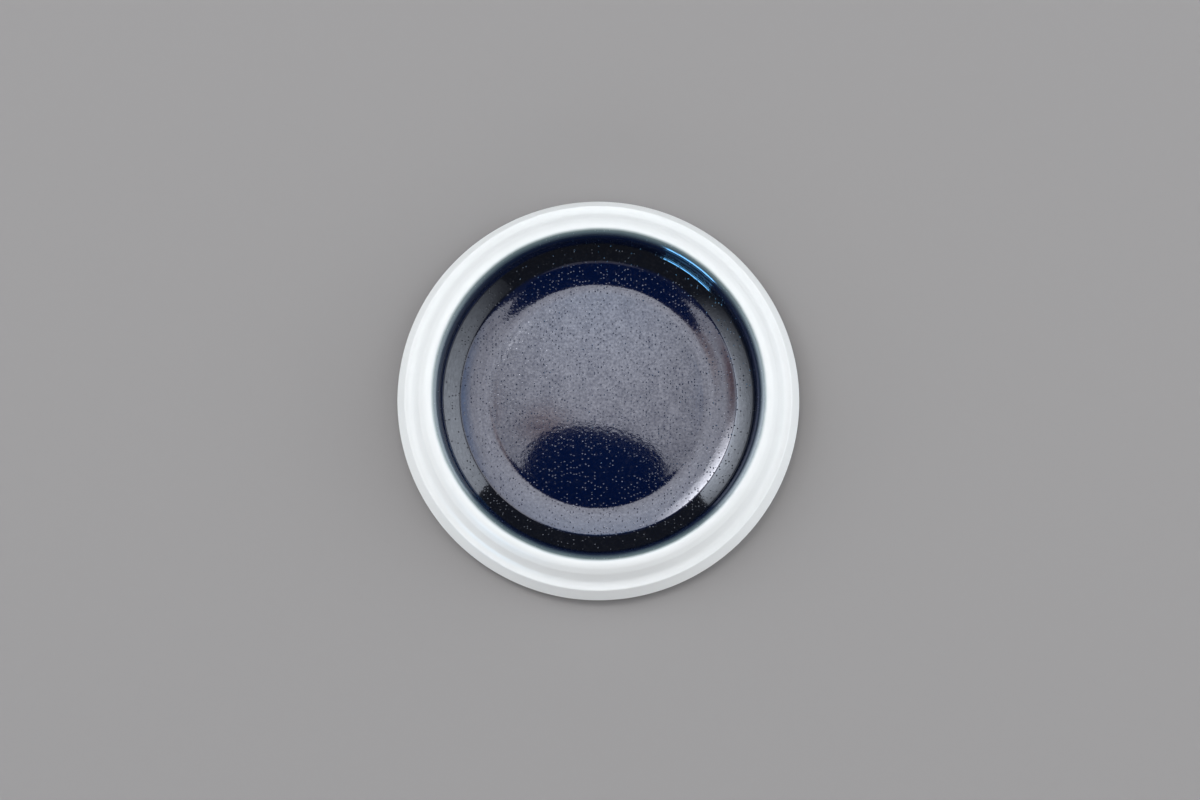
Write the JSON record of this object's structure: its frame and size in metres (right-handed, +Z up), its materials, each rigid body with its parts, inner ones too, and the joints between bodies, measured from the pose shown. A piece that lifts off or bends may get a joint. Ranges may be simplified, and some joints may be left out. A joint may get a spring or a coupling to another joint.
{
  "type": "small plate",
  "caption": "Small round porcelain plate with a deep well in dark blue glaze, a rolled lip, a thick white stepped rim and a bare foot ring; holds a small serving.",
  "frame": {"origin": "centre of the foot ring, on the face that rests on the table", "axes": "+Z up along the plate's axis, out of the well; X and Y lie in the table's plane"},
  "size_m": [0.12, 0.12, 0.017],
  "materials": {
    "porcelain": "bare fired porcelain, fine and matt",
    "blue_glaze": "glossy dark cobalt-blue glaze with a fine orange-peel surface",
    "rim_glaze": "clear satin glaze over white porcelain",
    "base_glaze": "clear satin glaze over white porcelain"
  },
  "bodies": {
    "root": {"porcelain_body": "porcelain", "blue_well_glaze": "blue_glaze", "clear_rim_glaze": "rim_glaze", "clear_base_glaze": "base_glaze"}
  },
  "joints": []
}
